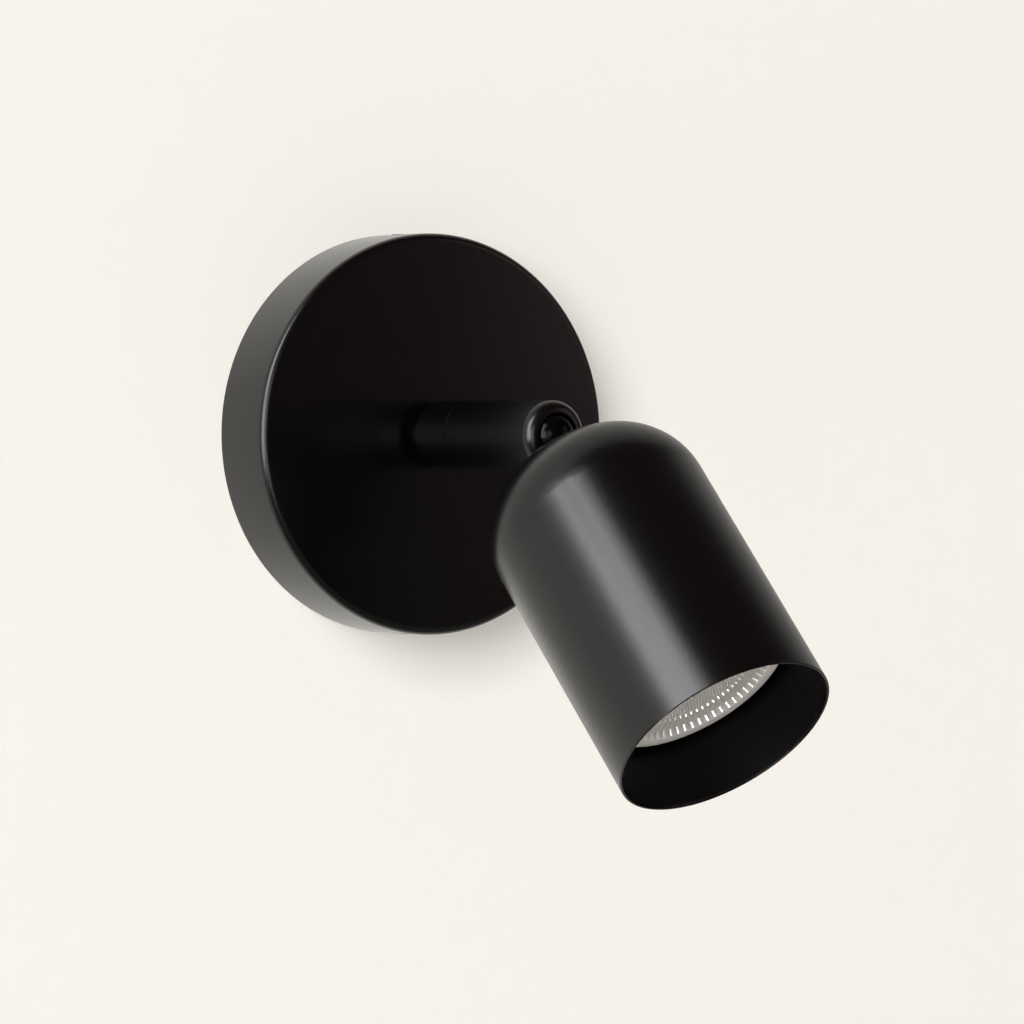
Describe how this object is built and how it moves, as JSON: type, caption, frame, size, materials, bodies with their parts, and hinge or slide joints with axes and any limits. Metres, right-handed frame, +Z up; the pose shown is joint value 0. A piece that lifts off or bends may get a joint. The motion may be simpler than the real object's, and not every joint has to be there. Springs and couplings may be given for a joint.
{
  "type": "pivoting spotlight wall light",
  "caption": "Wall spotlight: round plate, short swivelling arm and bullet-shaped head that tilts on a ball, with a reflector lamp behind its open mouth.",
  "frame": {"origin": "centre of the wall-screw pattern, on the bracket's back face in the wall plane", "axes": "+Y into the wall, so the light stands out towards -Y; +Z up; +X to the right seen from the room"},
  "size_m": [0.1, 0.1535, 0.1387],
  "materials": {
    "black_coat": "satin black powder coat on steel",
    "zinc_steel": "bright zinc plate",
    "turned_steel": "turned and nickelled",
    "brass": "bare brass",
    "natural_nylon": "moulded nylon",
    "white_ceramic": "unglazed steatite",
    "lamp_plastic": "moulded satin plastic",
    "aluminium": "plain turned",
    "led_phosphor": "cured phosphor",
    "lens_plastic": "moulded optical plastic, finely ribbed"
  },
  "bodies": {
    "base": {"canopy_cover": "black_coat", "side_screws": "black_coat", "wall_bracket": "zinc_steel", "terminal_block": "natural_nylon", "terminal_clamps": "brass", "terminal_screws": "zinc_steel", "block_screws": "zinc_steel", "earth_washer": "zinc_steel", "earth_screw": "zinc_steel", "threaded_nipple": "turned_steel", "lock_washer": "zinc_steel", "nipple_nut": "zinc_steel", "neck_plug": "black_coat", "base_collar": "black_coat", "stop_pin": "turned_steel"},
    "arm": {"arm_tube": "black_coat", "swivel_shaft": "turned_steel", "friction_ring": "natural_nylon", "swivel_nut": "turned_steel", "ball_cup": "natural_nylon", "disc_springs": "turned_steel", "spring_ring": "turned_steel"},
    "head": {"shade": "black_coat", "ball_stud": "black_coat", "crown_washer": "zinc_steel", "head_nut": "zinc_steel", "holder_bracket": "zinc_steel", "lampholder": "white_ceramic", "holder_screws": "zinc_steel", "holder_contacts": "brass", "lamp_pins": "turned_steel", "lamp_base": "lamp_plastic", "lamp_housing": "lamp_plastic", "heat_sink": "aluminium", "led_board": "aluminium", "led_chips": "led_phosphor", "lamp_lens": "lens_plastic"}
  },
  "joints": [
    {"name": "arm_swivel", "type": "hinge", "parent": "base", "child": "arm", "pos_m": [0, -0.037, 0], "axis": [0, -1, 0], "range_deg": [-171, 159]},
    {"name": "head_tilt", "type": "hinge", "parent": "arm", "child": "head", "pos_m": [0, -0.0716, 0], "axis": [0.9945, 0, 0.1045], "range_deg": [-49.3, 40.7]}
  ]
}
